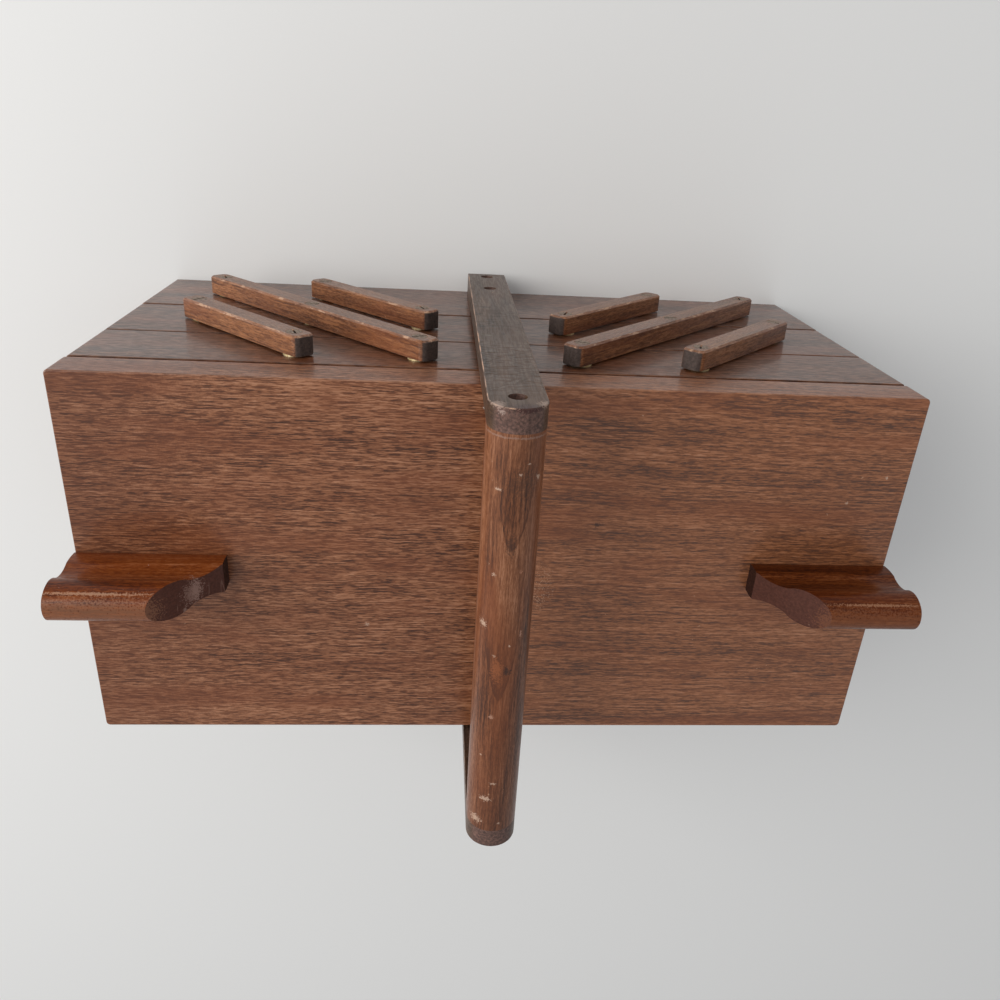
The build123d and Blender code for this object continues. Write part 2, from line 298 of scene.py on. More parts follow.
def endGrain(tree, grain, cut, ring, look):
    # end grain is dull and speckled, and the squarer it is cut the darker it is: partly the end grain's own
    # tone, partly painted shade on square end faces turned from the light
    speckle = centred(tree, pattern(tree, grain, **grainNoise["speckle"]), look["endSpeckle"])
    tone = minus(tree, plus(tree, 0.5, speckle), times(tree, ring, look["endRings"]))
    tone = minus(tree, tone, between(tree, cut, *limits["square"], 0.0, look["endDarkAndShade"]))
    darkest, lightest = ([c * share for c in look["endGrain"]] for share in endShades)
    return tint(tree, tone, ((0.0, darkest), (0.5, look["endGrain"]), (1.0, lightest)))


def addMarks(tree, place, colour, marks):
    if marks:
        ragged = pattern(tree, place, **placeNoise["ragged"])
    for spot in marks:
        away = distance(tree, place, spot["place"], spot["squeeze"])
        away = plus(tree, away, centred(tree, ragged, spot["size"] * spot["ragged"]))
        amount = between(tree, away, spot["size"], spot["size"] * spot["core"])
        colour = blend(tree, times(tree, amount, spot["amount"]), colour, spot["colour"])
    return colour


def walnut(name, changes, arches=(), marks=(), dust=None):
    look = {**walnutLook, **changes}
    material, tree, shader = newMaterial(name)
    grain = attribute(tree, "grain", "Vector")
    edge = attribute(tree, "edge", "Fac")
    cut = attribute(tree, "cut", "Fac")
    place = tree.nodes.new("ShaderNodeTexCoord").outputs["Object"]
    separate = tree.nodes.new("ShaderNodeSeparateXYZ")
    tree.links.new(place, separate.inputs[0])
    sides = separate.outputs
    ring, fineRing = ringFigure(tree, grain, look)

    # tone: slow bands, long fibres and the dark dashes of the open pores
    band = pattern(tree, grain, **grainNoise["band"])
    wide, pore, nickSize = look["fibreWidth"], look["dashWidth"], look["nickSize"]
    fibre = pattern(tree, grain, (wide * lengthShare["fibre"], wide, wide), detail=3.0, roughness=0.65)
    dash = pattern(tree, grain, (look["dashLength"], pore, pore), (5, 0, 0), roughness=0.6,
                   limits=limits["dash"])
    middle = 0.5 + look["dash"] * toneLift["dash"] + look["ringDepth"] * toneLift["ringDepth"]
    tone = plus(tree, middle, centred(tree, band, look["bands"]))
    tone = plus(tree, tone, centred(tree, fibre, look["fibre"]))
    tone = minus(tree, tone, times(tree, dash, look["dash"]))
    tone = minus(tree, tone, times(tree, ring, look["ringDepth"]))
    tone = minus(tree, tone, times(tree, fineRing, look["fineRings"]))
    for arch in arches:
        tone = minus(tree, tone, archFigure(tree, place, sides, arch))
    if look["cracks"]:
        split = hairlines(tree, pattern(tree, grain, **grainNoise["split"]), limits["split"])
        split = times(tree, split, zone(tree, sides["Z"], *postZones["cracks"]))
        tone = minus(tree, tone, times(tree, split, look["cracks"]))
    tones = [look[shade] for shade in ("line", "deep", "middle", "light", "pale")]
    colour = tint(tree, tone, list(zip((0.0, 0.25, 0.50, 0.75, 1.0), tones)))
    redPatch = pattern(tree, grain, **grainNoise["redPatch"])
    colour = blend(tree, times(tree, redPatch, look["redness"]), colour, look["red"])

    endMask = between(tree, cut, *limits["end"])
    colour = blend(tree, endMask, colour, endGrain(tree, grain, cut, ring, look))
    if look["scratches"]:
        hair = hairlines(tree, pattern(tree, place, **placeNoise["hair"]), limits["hair"])
        hair = times(tree, hair, pattern(tree, place, **placeNoise["hairPatch"]))
        hair = times(tree, times(tree, hair, endMask), look["scratches"])
        colour = blend(tree, hair, colour, look["worn"])

    # a thin grey film on the outer faces: partly dust and handling, partly painted sheen where the glossy
    # faces meet the pale surroundings at a glancing angle
    if look["dustAndSheen"]:
        dustAndSheen = times(tree, pattern(tree, place, **placeNoise["dustAndSheen"]), attribute(tree, "front", "Fac"))
        colour = blend(tree, times(tree, dustAndSheen, look["dustAndSheen"]), colour, look["dustAndSheenColour"])

    # lacquer rubbed thin on the arrises, and chipped through in places
    scuff = pattern(tree, grain, **grainNoise["scuff"])
    rub = times(tree, times(tree, edge, between(tree, scuff, *limits["rub"])), look["wear"])
    colour = blend(tree, rub, colour, look["worn"])
    chip = times(tree, times(tree, edge, between(tree, scuff, *limits["chip"])), look["chips"])
    colour = blend(tree, chip, colour, look["chipped"])

    # pale nicks here and there, and grit where there is dust
    nick = pattern(tree, grain, (nickSize * lengthShare["nick"], nickSize, nickSize), (9, 2, 4),
                   roughness=0.6, limits=limits["nick"])
    nick = times(tree, nick, pattern(tree, grain, **grainNoise["nickPatch"]))
    if dust:
        away = distance(tree, place, dust["place"], dust["squeeze"])
        near = between(tree, away, dust["size"], dust["size"] * dust["core"])
        nick = maths(tree, "MAXIMUM", nick, times(tree, near, pattern(tree, place, **placeNoise["grit"])))
    colour = blend(tree, times(tree, nick, look["nicks"]), colour, look["chipped"])
    tree.links.new(addMarks(tree, place, colour, marks), shader.inputs["Base Color"])

    cloud = pattern(tree, grain, **grainNoise["cloud"])
    dull = plus(tree, times(tree, endMask, look["endDull"]), times(tree, rub, look["rubDull"]))
    roughness = plus(tree, plus(tree, cloud, look["roughness"]), dull)
    roughness = maths(tree, "ADD", roughness, times(tree, dash, look["poreDull"]), clamp=True)
    tree.links.new(roughness, shader.inputs["Roughness"])
    shader.inputs["Specular IOR Level"].default_value = look["specular"]
    shader.inputs["Coat Weight"].default_value = look["coat"]
    shader.inputs["Coat Roughness"].default_value = look["coatRoughness"]

    height = times(tree, minus(tree, centred(tree, fibre, look["fibreHeight"]), dash), look["relief"])
    height = minus(tree, height, times(tree, nick, look["nickHeight"]))
    if look["ripple"]:
        ripples = centred(tree, pattern(tree, grain, **grainNoise["ripple"]), look["ripple"])
        ripples = times(tree, ripples, zone(tree, sides["Z"], *postZones["ripple"]))
        height = plus(tree, height, times(tree, ripples, attribute(tree, "front", "Fac")))
    if look["cracks"]:
        height = minus(tree, height, times(tree, split, look["splitHeight"]))
    bump = addBump(tree, shader, height, look["bump"], look["bumpReach"])
    tree.links.new(bump.outputs["Normal"], shader.inputs["Coat Normal"])
    return material


metalLook = {"detail": 4.0, "roughness": 0.6, "limits": (0.38, 0.62), "tarnishRoughness": 0.18,
             "slotShade": (0.012, 0.008, 0.006), "bump": 0.08, "bumpReach": 0.0002}


def metal(name, colour, tarnish, roughness, patches, slotted=False):
    material, tree, shader = newMaterial(name)
    place = tree.nodes.new("ShaderNodeTexCoord").outputs["Object"]
    patch = pattern(tree, place, (patches, patches, patches), detail=metalLook["detail"],
                    roughness=metalLook["roughness"], limits=metalLook["limits"])
    shade = blend(tree, patch, colour, tarnish)
    if slotted:
        # painted shade in the screw slot
        shade = blend(tree, attribute(tree, "depth", "Fac"), shade, metalLook["slotShade"])
    tree.links.new(shade, shader.inputs["Base Color"])
    rough = plus(tree, times(tree, patch, metalLook["tarnishRoughness"]), roughness)
    tree.links.new(rough, shader.inputs["Roughness"])
    shader.inputs["Metallic"].default_value = 1.0
    addBump(tree, shader, patch, metalLook["bump"], metalLook["bumpReach"])
    return material


feltLook = {"colour": (0.06, 0.035, 0.022), "fuzz": (2600, 2600, 2600), "dark": 0.5, "light": 1.4,
            "roughness": 0.95}


def feltCloth(name):
    material, tree, shader = newMaterial(name)
    place = tree.nodes.new("ShaderNodeTexCoord").outputs["Object"]
    dark, light = ([c * feltLook[share] for c in feltLook["colour"]] for share in ("dark", "light"))
    fuzz = pattern(tree, place, feltLook["fuzz"], detail=3.0)
    tree.links.new(blend(tree, fuzz, dark, light), shader.inputs["Base Color"])
    shader.inputs["Roughness"].default_value = feltLook["roughness"]
    return material


# one chip, stain or scratch in its own place, in millimetres; it reaches further where its squeeze is small
def mark(place, size, colour, amount=0.85, squeeze=(1, 1, 0.4), core=0.5):
    return {"place": [c / 1000 for c in place], "size": size / 1000, "colour": colour, "amount": amount,
            "squeeze": squeeze, "core": core, "ragged": 1.8}


# a mark is given by its pixel in the camera's picture: the ray through it meets the face, in millimetres
def under(pixel, point, facing):
    eye, half = camera.location * 1000, cameraLook["photoWidth"] / 2
    reach = cameraData.lens / cameraData.sensor_width * cameraLook["photoWidth"]
    ray = camera.rotation_euler.to_matrix() @ Vector((pixel[0] - half, half - pixel[1], -reach))
    facing = Vector(facing)
    return eye + ray * (facing.dot(Vector(point) - eye) / facing.dot(ray))


gripTop = cadBox[1][2] * 1000
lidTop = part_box("lid_board_right")[1][2] * 1000
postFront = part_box("handle_post_front")[0][1] * 1000
jointLine = -104.5  # where grip and front post meet in sight
# the slant cut of the pulls: its foot, and how far it runs for its rise
pullCut = {"inner": 137.5, "foot": 223.0, "run": 28.5, "rise": 32.8}


def onGrip(pixel, drop=0.0):
    return under(pixel, (0, 0, gripTop - drop), (0, 0, 1))


def onLid(pixel):
    return under(pixel, (0, 0, lidTop), (0, 0, 1))


def onPost(pixel, inset=0.0):
    return under(pixel, (0, postFront + inset, 0), (0, 1, 0))


def onPullCut(pixel, side=1):
    slant = (side * pullCut["rise"], 0, -pullCut["run"])
    return under(pixel, (side * pullCut["inner"], 0, pullCut["foot"]), slant)


# pixels across and down; leftLidChip and shadedPullScrape lie about 10 from the real piece's nearest such spot,
# leftLidStain and leftLidNick about 40
markPixels = {
    "gripStain": (511, 546), "knot": (497, 672), "knotEye": (507, 672), "nearArch": (512, 554),
    "farArch": (498, 699), "postWornRight": (497.5, 404.5), "postWornLeft": (545.5, 405),
    "postDarkLine": (528.5, 408.5), "postRubRight": (501, 412), "postRubLeft": (519, 414),
    "postStreak": (487, 335), "postDent": (503.7, 334), "pullScrape": (196, 589), "pullRub": (193, 592),
    "pullNick": (185, 610), "shadedPullScrape": (790, 586), "rightLidChip": (367, 624),
    "rightLidWhite": (485, 408), "leftLidStain": (597, 525), "leftLidChip": (887, 478),
    "leftLidNick": (847, 503), "lidDust": (537, 588),
}
evenly = (1, 1, 1)
creamChip, redChip, rustChip = (0.46, 0.31, 0.225), (0.38, 0.17, 0.10), (0.38, 0.19, 0.12)
dullChip, oldStain = (0.34, 0.18, 0.12), (0.050, 0.022, 0.013)
rubbed, scraped = (0.36, 0.26, 0.22), (0.330, 0.210, 0.170)

# chips on the grip: pixel, drop below the crown, size, the squeeze across and along it, and colour
gripChips = [
    ((489, 483), 2, 1.1, (0.5, 1.2), creamChip), ((498, 489), 2, 0.9, (0.5, 1.2), creamChip),
    ((538.7, 477.5), 3, 1.0, (1.3, 0.5), creamChip), ((521, 475), 0, 0.6, (1, 1), creamChip),
    ((530, 465), 0, 0.7, (1, 1), creamChip), ((491, 463), 3, 0.7, (1, 1), creamChip),
    ((493.7, 575.7), 1, 0.9, (1, 1), creamChip), ((489, 565.7), 2, 0.8, (1, 1), creamChip),
    ((520.5, 571), 2, 0.9, (1, 1), redChip), ((482.5, 623.7), 4, 1.6, (1, 0.8), creamChip),
    ((520.5, 633.7), 2, 0.8, (1.6, 0.4), rustChip), ((493.7, 656), 1, 0.7, (1, 1), creamChip),
    ((509.5, 646.7), 0, 0.6, (1, 1), creamChip), ((491, 718.5), 0, 1.3, (1, 1), dullChip),
    ((477, 746), 2, 0.6, (1, 1), creamChip), ((481, 757), 1, 0.7, (1, 1), creamChip),
    ((492.5, 784), 0, 0.8, (0.5, 1.1), creamChip), ((485, 798.5), 1, 1.4, (0.5, 0.8), creamChip),
    ((474.7, 818), 3, 1.8, (0.6, 0.7), creamChip), ((498.7, 823.5), 0, 0.7, (1, 1), creamChip),
]
gripMarks = [
    mark((-3, -85, gripTop), 8.0, oldStain, 0.50, (1, 0.9, 0.4), 0.1),
    mark(onGrip(markPixels["gripStain"]), 4.5, oldStain, 0.60, (1.6, 0.7, 0.4), 0.2),
    # the knot: an orange ring round a dark eye
    mark(onGrip(markPixels["knot"]), 4.2, (0.270, 0.085, 0.030), 0.65, (1.4, 0.6, 0.4), 0.3),
    mark(onGrip(markPixels["knotEye"]), 2.4, (0.030, 0.014, 0.010), 0.85, (1.2, 0.8, 0.4), 0.3),
    # the far half is darker, and the joint with the post shows as a pale line
    mark((0, 120, gripTop - 1), 75.0, (0.085, 0.028, 0.012), 0.30, (0, 1, 0), 0.3),
    mark((0, jointLine, gripTop - 1), 0.45, (0.270, 0.165, 0.125), 0.60, (0.01, 1, 0.01)),
]
gripMarks += [mark(onGrip(pixel, drop), size, colour, squeeze=(*squeeze, 0.4))
              for pixel, drop, size, squeeze, colour in gripChips]
postMarks = [
    mark(onPost(markPixels["postWornRight"], 0.1), 2.6, (0.360, 0.255, 0.205), 0.65, (0.7, 1.8, 0.5)),
    mark(onPost(markPixels["postWornLeft"], 0.1), 2.6, (0.360, 0.250, 0.195), 0.70, (0.8, 1.8, 0.5)),
    mark(onPost(markPixels["postDarkLine"], 0.4), 1.7, (0.040, 0.010, 0.008), 0.90, (0.24, 1.0, 0.4), 0.7),
    mark(onGrip(markPixels["postRubRight"], 2), 1.2, rubbed, 0.7, (0.7, 1, 0.6)),
    mark(onGrip(markPixels["postRubLeft"], 1), 0.9, rubbed, 0.7, evenly),
    mark(onPost(markPixels["postStreak"]), 0.8, (0.150, 0.140, 0.100), 0.8, (0.25, 1, 1)),
    mark(onPost(markPixels["postDent"]), 1.6, (0.030, 0.018, 0.014), 0.8, (1, 1, 0.7)),
]
# on each pull a pale line along the ledge, partly worn lacquer and partly painted highlight; a painted
# reflection on the round of its bead; and scrapes on the slant cut
pullMarks = [
    mark((190, -7.4, 251.7), 0.9, (0.420, 0.240, 0.150), 0.70, (0.03, 1, 1)),
    # the paler round of the bead is a painted reflection
    mark((190, 1.0, 256.5), 7.0, (0.330, 0.150, 0.080), 0.45, (0.08, 0.8, 1), 0.6),
    mark(onPullCut(markPixels["pullScrape"]), 0.8, scraped, 0.65, (0.3, 0.11, 0.3)),
    mark(onPullCut(markPixels["pullRub"]), 0.9, (0.300, 0.180, 0.145), 0.60, (0.15, 0.14, 0.15)),
    mark(onPullCut(markPixels["pullNick"]), 0.6, scraped, 0.60, (0.5, 0.4, 0.5)),
    # a pale spot by the ledge: worn lacquer with painted highlight
    mark((184, -6.2, 249.0), 0.8, (0.400, 0.210, 0.120), 0.60, (0.3, 1, 0.3)),
]
shadedPullMarks = [
    # on this pull too the ledge line is worn lacquer and painted highlight, and the paler bead round a
    # painted reflection
    mark((-190, -7.0, 252.2), 0.8, (0.330, 0.165, 0.090), 0.70, (0.03, 1, 1)),
    mark((-190, 1.5, 256.5), 7.0, (0.220, 0.085, 0.040), 0.40, (0.08, 0.8, 1), 0.6),
    mark(onPullCut(markPixels["shadedPullScrape"], -1), 0.7, scraped, 0.60, (0.3, 0.6, 0.3)),
]
# the right lid darkens towards its outer end
lidMarksRight = [
    mark((215, 0, lidTop), 85.0, (0.090, 0.022, 0.006), 0.28, (1, 0, 0), 0.3),
    mark(onLid(markPixels["rightLidChip"]), 1.2, creamChip, 0.7, evenly),
    mark(onLid(markPixels["rightLidWhite"]), 1.0, (0.60, 0.56, 0.52), 0.9, evenly),
]
lidMarksLeft = [
    mark(onLid(markPixels["leftLidStain"]), 1.3, (0.040, 0.016, 0.010), 0.8, evenly),
    mark(onLid(markPixels["leftLidChip"]), 0.8, creamChip, 0.8, evenly),
    mark(onLid(markPixels["leftLidNick"]), 0.8, creamChip, 0.8, evenly),
]
lidDust = {"place": onLid(markPixels["lidDust"]) / 1000, "size": 0.012, "squeeze": (1.0, 0.6, 1.0),
           "core": 0.3}
gripArches = (
    {"tip": onGrip(markPixels["nearArch"]) / 1000, "narrow": 0.0019, "length": 0.055, "dark": 0.34},
    {"tip": onGrip(markPixels["farArch"]) / 1000, "narrow": 0.0019, "length": 0.042, "dark": 0.50},
)

caseLook = {
    "line": (0.028, 0.010, 0.005), "deep": (0.058, 0.019, 0.008), "middle": (0.098, 0.033, 0.013),
    "light": (0.145, 0.054, 0.023), "pale": (0.210, 0.090, 0.045), "roughness": 0.42, "specular": 0.2,
    "coat": 0.55, "coatRoughness": 0.06, "bump": 0.12, "wear": 0.5, "dash": 0.50, "dashLength": 150.0,
    "dashWidth": 1000.0, "nicks": 0.25,
}
lidLook = {"fibre": 0.80, "fibreWidth": 1000.0, "dashWidth": 1850.0, "bands": 0.30, "wear": 0.7}
lidStraightLook = {
    **lidLook, "line": (0.050, 0.014, 0.004), "deep": (0.120, 0.036, 0.012), "middle": (0.208, 0.074, 0.029),
    "light": (0.292, 0.118, 0.054), "pale": (0.390, 0.182, 0.098), "rings": 70.0, "ringDepth": 0.12,
    "dash": 0.50, "dashLength": 190.0,
}
lidFiguredLook = {
    **lidLook, "line": (0.080, 0.032, 0.018), "deep": (0.155, 0.055, 0.023), "middle": (0.234, 0.086, 0.034),
    "light": (0.305, 0.120, 0.053), "pale": (0.390, 0.175, 0.092), "rings": 62.0, "ringDepth": 0.29,
    "ringWarp": 0.009, "fineRings": 0.22, "dash": 0.40, "dashLength": 230.0,
}
# the arms' outer faces carry a grey film that is partly painted sheen
armLook = {
    "line": (0.055, 0.016, 0.005), "deep": (0.125, 0.040, 0.012), "middle": (0.212, 0.079, 0.028),
    "light": (0.300, 0.120, 0.046), "pale": (0.400, 0.190, 0.085), "endGrain": (0.060, 0.040, 0.033),
    "roughness": 0.45, "coat": 0.25, "coatRoughness": 0.22, "rings": 180.0, "ringWarp": 0.004,
    "ringDepth": 0.24, "fibre": 0.55, "fibreWidth": 900.0, "dash": 0.28, "dashLength": 260.0,
    "dashWidth": 1500.0, "wear": 0.55, "chips": 0.75, "dustAndSheen": 0.50, "dustAndSheenColour": (0.190, 0.155, 0.135),
    "bump": 0.25, "endDarkAndShade": 0.0,
}
# the post's front carries a little of the same film, partly painted sheen
postLook = {
    "line": (0.026, 0.014, 0.008), "deep": (0.048, 0.025, 0.014), "middle": (0.072, 0.038, 0.021),
    "light": (0.102, 0.056, 0.033), "pale": (0.150, 0.088, 0.055), "red": (0.085, 0.038, 0.018),
    "worn": (0.36, 0.24, 0.18), "endGrain": (0.105, 0.055, 0.042), "roughness": 0.42, "coat": 0.15,
    "coatRoughness": 0.22, "rings": 150.0, "ringWarp": 0.004, "ringDepth": 0.10, "dash": 0.14,
    "dashLength": 90.0, "dashWidth": 1200.0, "fibre": 0.45, "bands": 0.55, "wear": 0.9, "chips": 0.8,
    "bump": 1.0, "relief": 0.12, "ripple": 2.4, "cracks": 0.55, "dustAndSheen": 0.12,
    "dustAndSheenColour": (0.110, 0.080, 0.065), "endDarkAndShade": 0.0, "endSpeckle": 0.7,
}
gripLook = {
    "rings": 262.0, "ringWarp": 0.0012, "ringDepth": 0.20, "fineRings": 0.0, "roughness": 0.40,
    "specular": 0.25, "coat": 0.16, "coatRoughness": 0.2, "fibre": 0.7, "fibreWidth": 900.0, "dash": 0.22,
    "dashLength": 330.0, "dashWidth": 2000.0, "bands": 0.5, "wear": 0.8, "nicks": 0.8, "nickSize": 300.0,
}
# the pulls' square inner end faces get painted shade on top of their end grain
bothPullsLook = {
    "rings": 260.0, "ringWarp": 0.003, "fibre": 0.5, "dash": 0.26, "dashLength": 300.0, "dashWidth": 1600.0,
    "bands": 0.6, "roughness": 0.36, "wear": 0.8, "chips": 0.5, "worn": (0.330, 0.200, 0.155),
    "chipped": (0.420, 0.270, 0.210), "nicks": 0.6, "endDarkAndShade": 0.42, "endSpeckle": 0.30,
}
pullLook = {
    **bothPullsLook,
    "line": (0.045, 0.008, 0.001), "deep": (0.090, 0.016, 0.002), "middle": (0.160, 0.034, 0.004),
    "light": (0.220, 0.060, 0.014), "pale": (0.320, 0.120, 0.050), "red": (0.160, 0.028, 0.002),
    "endGrain": (0.085, 0.030, 0.020), "specular": 0.12, "coat": 0.22, "coatRoughness": 0.14,
    "scratches": 0.30,
}
# a darker copy of the pull walnut: painted shade for the -X pull, on the side away from the lamps
pullShadedLook = {
    **bothPullsLook,
    "line": (0.026, 0.004, 0.001), "deep": (0.052, 0.009, 0.001), "middle": (0.100, 0.021, 0.003),
    "light": (0.150, 0.040, 0.009), "pale": (0.240, 0.090, 0.038), "red": (0.100, 0.017, 0.001),
    "endGrain": (0.078, 0.029, 0.020), "specular": 0.08, "coat": 0.20, "coatRoughness": 0.12,
}
plyLook = {
    "line": (0.20, 0.11, 0.05), "deep": (0.30, 0.18, 0.09), "middle": (0.40, 0.25, 0.13),
    "light": (0.47, 0.31, 0.17), "pale": (0.55, 0.38, 0.22), "red": (0.40, 0.23, 0.12),
    "endGrain": (0.24, 0.14, 0.07), "roughness": 0.60, "coat": 0.0, "wear": 0.0,
}
finishes = {
    "case": walnut("caseWalnut", caseLook),
    "lidStraight": walnut("lidWalnutStraight", lidStraightLook, marks=lidMarksRight),
    "lidFigured": walnut("lidWalnutFigured", lidFiguredLook, marks=lidMarksLeft, dust=lidDust),
    "arm": walnut("armWalnut", armLook),
    "post": walnut("postWalnut", postLook, marks=postMarks),
    "grip": walnut("gripWalnut", gripLook, arches=gripArches, marks=gripMarks),
    "pull": walnut("pullWalnut", pullLook, marks=pullMarks),
    "pullShaded": walnut("pullWalnutShaded", pullShadedLook, marks=shadedPullMarks),
    "ply": walnut("plywood", plyLook),
    "brass": metal("dullBrass", (0.86, 0.75, 0.48), (0.60, 0.46, 0.24), roughness=0.46, patches=420.0),
    "screw": metal("darkScrewSteel", (0.34, 0.26, 0.20), (0.20, 0.145, 0.11), roughness=0.45, patches=700.0,
                   slotted=True),
    "felt": feltCloth("brownFelt"),
}
print("finishes made")

# the record's slot for each finish, where it is worn, and whether its arrises are softened
handling = {
    "case": ("case_wood", "rounds", True), "lidStraight": ("lid_wood", "rounds", True),
    "lidFigured": ("lid_wood", "rounds", True), "arm": ("arm_wood", "faceArris", True),
    "post": ("post_wood", "faceArris", True), "grip": ("grip_wood", "ends", True),
    "pull": ("pull_wood", "rim", True), "pullShaded": ("pull_wood", "rim", True),
    "ply": ("plywood", "none", True), "brass": ("brass", "none", False),
    "screw": ("screw_steel", "none", False), "felt": ("felt", "none", False),
}
# lengths in metres, angles in degrees
softening = {"merge": 1e-6, "flat": 0.5, "arris": 0.00035, "segments": 3, "sharpest": 75.0, "shortest": 0.003,
             "smooth": 32.0}
washerTrim = {"from": 0.0079, "upper": 0.0061, "lower": 0.0046, "rim": 0.9, "nearMiddle": 0.06, "high": 0.15}
shiftShare = {"across": 0.37, "through": 0.71}
wornWhere = {"round": 0.96, "roundSoft": 0.16, "tilted": 0.25, "faceOn": 0.985, "endOn": 0.97}
slotShadeDepths = {"armHead": 0.1143, "postHead": 0.1138, "full": 0.0006, "postHalfWidth": 0.012}


def softShape(node, softened):
    # every node's own solid is merged, and its sharp arrises are rounded a little
    shape = bmesh.new()
    shape.from_mesh(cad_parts[node].data)
    rim = shape.faces.layers.int.new("rim")
    bmesh.ops.remove_doubles(shape, verts=shape.verts, dist=softening["merge"])
    bmesh.ops.dissolve_limit(shape, angle_limit=math.radians(softening["flat"]), verts=shape.verts,
                             edges=shape.edges)
    sharp = [e for e in shape.edges if len(e.link_faces) == 2 and e.calc_length() > softening["shortest"]
             and e.calc_face_angle(0) > math.radians(softening["sharpest"])]
    if sharp and softened:
        rounded = bmesh.ops.bevel(shape, geom=sharp, offset=softening["arris"],
                                  segments=softening["segments"], profile=0.5, affect="EDGES", material=-1,
                                  clamp_overlap=True)
        for face in rounded["faces"]:
            face[rim] = 1
    return shape


def looseParts(shape):
    left = set(shape.verts)
    while left:
        reach = [left.pop()]
        part = set(reach)
        while reach:
            vertex = reach.pop()
            near = {e.other_vert(vertex) for e in vertex.link_edges} & left
            left -= near
            part |= near
            reach += near
        yield part


def trimWashers(shape):
    # the washers hardly show past the arms
    for part in looseParts(shape):
        middleX = (min(v.co.x for v in part) + max(v.co.x for v in part)) / 2
        middleZ = (min(v.co.z for v in part) + max(v.co.z for v in part)) / 2
        upper = abs(middleX) < washerTrim["nearMiddle"] or middleZ > washerTrim["high"]
        trim = washerTrim["upper" if upper else "lower"] / washerTrim["from"]
        for v in part:
            if math.hypot(v.co.x - middleX, v.co.z - middleZ) > washerTrim["from"] * washerTrim["rim"]:
                v.co.x = middleX + (v.co.x - middleX) * trim
                v.co.z = middleZ + (v.co.z - middleZ) * trim


def addGrain(mesh, node, axes, shift, heart):
    # the grain space is centred on the piece, and shifted so that no two pieces share their figure
    low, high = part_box(node)
    middle = (Vector(low) + Vector(high)) / 2
    grain, rings = [], []
    for vertex in mesh.vertices:
        x, y, z = ((vertex.co - middle).dot(axis) for axis in axes)
        grain += [x + shift, y + shift * shiftShare["across"], z + shift * shiftShare["through"]]
        rings += [0, y - heart[0] - heart[2] * x, z - heart[1] - heart[3] * x]
    mesh.attributes.new("grain", "FLOAT_VECTOR", "POINT").data.foreach_set("vector", grain)
    mesh.attributes.new("heart", "FLOAT_VECTOR", "POINT").data.foreach_set("vector", rings)


def wornEdge(worn, facing, tilt, onRim):
    if worn == "rounds":
        return min(1.0, max(0.0, wornWhere["round"] - max(facing)) / wornWhere["roundSoft"])
    if worn == "faceArris":
        return 1.0 if wornWhere["tilted"] < tilt < wornWhere["faceOn"] else 0.0
    if worn == "rim":
        return float(onRim)
    if worn == "ends":
        return 1.0 if wornWhere["tilted"] < facing[0] < wornWhere["endOn"] else 0.0
    return 0.0


def addWear(mesh, axes, worn):
    # edge is where the lacquer is worn, cut is how squarely the grain is cut, front is the outer face
    edge, cut, front = [], [], []
    rims = mesh.attributes["rim"].data
    for face in mesh.polygons:
        tilt = abs(face.normal.dot(axes[2]))
        for loop in face.loop_indices:
            facing = [abs(mesh.corner_normals[loop].vector.dot(axis)) for axis in axes]
            edge.append(wornEdge(worn, facing, tilt, rims[face.index].value))
            cut.append(facing[0])
            front.append(1.0 if tilt > wornWhere["faceOn"] else 0.0)
    mesh.attributes.new("edge", "FLOAT", "CORNER").data.foreach_set("value", edge)
    mesh.attributes.new("cut", "FLOAT", "CORNER").data.foreach_set("value", cut)
    if worn == "faceArris":
        mesh.attributes.new("front", "FLOAT", "CORNER").data.foreach_set("value", front)


def addSlotShade(mesh):
    # painted shade inside the slot, darker the deeper it goes
    depth = []
    for vertex in mesh.vertices:
        head = slotShadeDepths["postHead" if abs(vertex.co.x) < slotShadeDepths["postHalfWidth"] else "armHead"]
        depth.append(min(1.0, max(0.0, (head - abs(vertex.co.y)) / slotShadeDepths["full"])))
    mesh.attributes.new("depth", "FLOAT", "POINT").data.foreach_set("value", depth)


def dress(node, body, finish, along, across, shift=0.0, heart=(0.15, -0.10, 0.0, 0.0)):
    slot, worn, softened = handling[finish]
    along, across = Vector(along).normalized(), Vector(across).normalized()
    axes = (along, across, along.cross(across))
    shape = softShape(node, softened)
    if "washers" in node:
        trimWashers(shape)
    mesh = bpy.data.meshes.new(node)
    shape.to_mesh(mesh)
    shape.free()
    mesh.shade_smooth()
    mesh.set_sharp_from_angle(angle=math.radians(softening["smooth"]))
    addGrain(mesh, node, axes, shift, heart)
    addWear(mesh, axes, worn)
    if finish == "screw":
        addSlotShade(mesh)
    mesh.materials.clear()
    mesh.materials.append(finishes[finish])
    piece = bpy.data.objects.new(node + ".look", mesh)
    bpy.context.scene.collection.objects.link(piece)
    piece.modifiers.new("evenNormals", "WEIGHTED_NORMAL").keep_sharp = True
    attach(piece, body)
    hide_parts(node)


alongX, alongY, alongZ = (1, 0, 0), (0, 1, 0), (0, 0, 1)

# the base and its handle; each board has its own shift and its own heart
for i, name in enumerate(("base_front", "base_back")):
    dress(name, "base", "case", alongX, alongZ, shift=0.61 + i, heart=(0.07, -0.05, 0.02, 0.01))
for i, name in enumerate(("base_end_left", "base_end_right")):
    dress(name, "base", "case", alongY, alongZ, shift=2.3 + i, heart=(-0.05, 0.06, 0.03, 0.02))
dress("base_bottom", "base", "ply", alongX, alongY, shift=5.2)
for i, name in enumerate(("handle_post_front", "handle_post_back")):
    dress(name, "base", "post", alongZ, alongX, shift=4.4 + i, heart=(0.01, -0.05, 0.02, 0.03))
dress("handle_grip", "base", "grip", alongY, alongX, shift=7.9, heart=(0.0, -0.0047, 0.0, 0.035))
dress("base_screws", "base", "screw", alongY, alongX)
dress("base_washers", "base", "brass", alongY, alongX)
print("base and handle dressed")

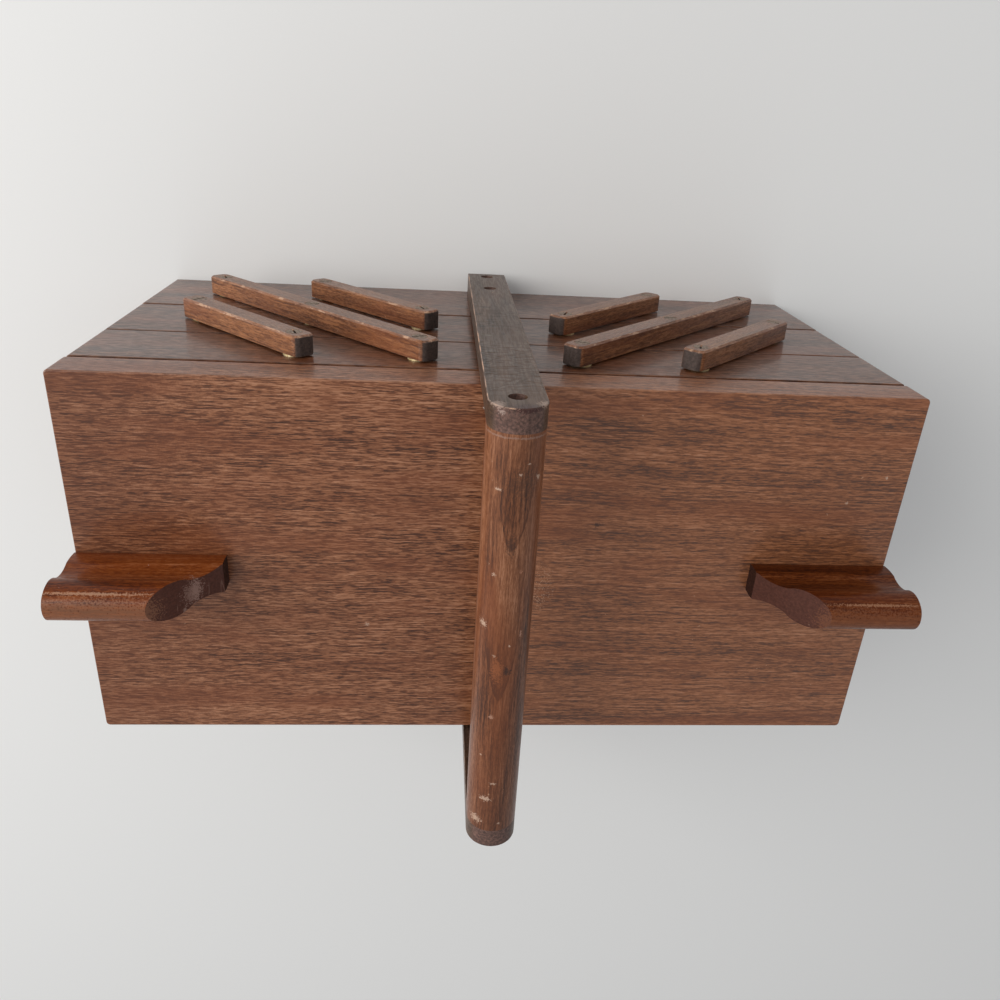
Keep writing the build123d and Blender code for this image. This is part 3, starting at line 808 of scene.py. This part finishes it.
# both halves
armLean = {"pitch": 0.063, "rise": 0.065}
lidBoards = {
    "right": ("lidStraight", 42.0, (0.30, -0.14, 0.02, 0.02)),
    "left": ("lidFigured", 40.0, (-0.15, -0.05, 0.057, -0.215)),
}
# the -X pull takes the darker copy, with painted shade
pullFinish = {"right": "pull", "left": "pullShaded"}
for half, side in (("right", 1), ("left", -1)):
    for row in ("lower_tray", "upper_tray"):
        body = f"{row}_{half}"
        above = row == "upper_tray"
        for i, board in enumerate(("front", "back")):
            dress(f"{row}_{board}_{half}", body, "case", alongX, alongZ,
                  shift=9.1 + i + side * 3 + 10 * above,
                  heart=(0.09 + 0.04 * above, -0.06, 0.03 * side, 0.01))
        for i, board in enumerate(("inner_end", "outer_end")):
            dress(f"{row}_{board}_{half}", body, "case", alongY, alongZ,
                  shift=15.7 + i + side * 3, heart=(-0.04, 0.07, 0.02, 0.03 * side))
        dress(f"{row}_bottom_{half}", body, "ply", alongX, alongY, shift=21.3 + side)
        dress(f"{row}_screws_{half}", body, "screw", alongY, alongX)
        dress(f"{row}_washers_{half}", body, "brass", alongY, alongX)
    lean = (-side * armLean["pitch"], 0, armLean["rise"])
    square = (armLean["rise"], 0, side * armLean["pitch"])
    for i, name in enumerate(("long_arm", "lower_short_arm", "upper_short_arm")):
        for j, face in enumerate(("front", "back")):
            dress(f"{name}_{face}_{half}", f"{name}s_{half}", "arm", lean, square,
                  shift=31.0 + i * 1.7 + j * 0.6 + side, heart=(0.03 + 0.02 * i, -0.04, 0.05 * side, 0.03))
    boardFinish, boardShift, boardHeart = lidBoards[half]
    dress(f"lid_board_{half}", f"lid_{half}", boardFinish, alongX, alongY, boardShift, boardHeart)
    dress(f"lid_pull_{half}", f"lid_{half}", pullFinish[half], alongX, alongY,
          shift=47.0 + side, heart=(0.03, -0.04, 0.02, 0.03))
    dress(f"lid_pads_{half}", f"upper_tray_{half}", "felt", alongX, alongY)
    dress(f"hinge_tray_leaves_{half}", f"upper_tray_{half}", "brass", alongX, alongY)
    dress(f"hinge_lid_leaves_{half}", f"lid_{half}", "brass", alongX, alongY)
    print(half, "half dressed")

# pale floor
floorLook = {"size": 6.0, "colour": (0.78, 0.78, 0.77), "roughness": 0.7}
shape = bmesh.new()
bmesh.ops.create_grid(shape, x_segments=1, y_segments=1, size=floorLook["size"])
floorMesh = bpy.data.meshes.new("floor")
shape.to_mesh(floorMesh)
shape.free()
floor = bpy.data.objects.new("floor", floorMesh)
bpy.context.scene.collection.objects.link(floor)
floorMaterial, floorTree, floorShader = newMaterial("paleFloor")
floorShader.inputs["Base Color"].default_value = (*floorLook["colour"], 1)
floorShader.inputs["Roughness"].default_value = floorLook["roughness"]
floorMesh.materials.append(floorMaterial)

# soft studio light: an even sky, and two wide lamps on the +X side, one high and one low
skyLook = {"colour": (0.97, 0.98, 1.0), "strength": 0.52}
world = bpy.data.worlds.new("sky")
world.use_nodes = True
world.node_tree.nodes["Background"].inputs["Color"].default_value = (*skyLook["colour"], 1)
world.node_tree.nodes["Background"].inputs["Strength"].default_value = skyLook["strength"]
bpy.context.scene.world = world
lamps = {
    "window": {"place": (1.5, -0.6, 1.4), "size": 1.6, "power": 27.0, "colour": (1.0, 0.985, 0.96)},
    "side": {"place": (2.2, -0.8, 0.7), "size": 1.0, "power": 16.0, "colour": (1.0, 0.97, 0.93)},
}
lampAim = Vector((0, 0, 0.15))
for name, lamp in lamps.items():
    data = bpy.data.lights.new(name, "AREA")
    data.size = lamp["size"]
    data.energy = lamp["power"]
    data.color = lamp["colour"]
    light = bpy.data.objects.new(name, data)
    light.location = lamp["place"]
    light.rotation_euler = (lampAim - Vector(lamp["place"])).to_track_quat("-Z", "Y").to_euler()
    bpy.context.scene.collection.objects.link(light)
print("floor and lamps placed")
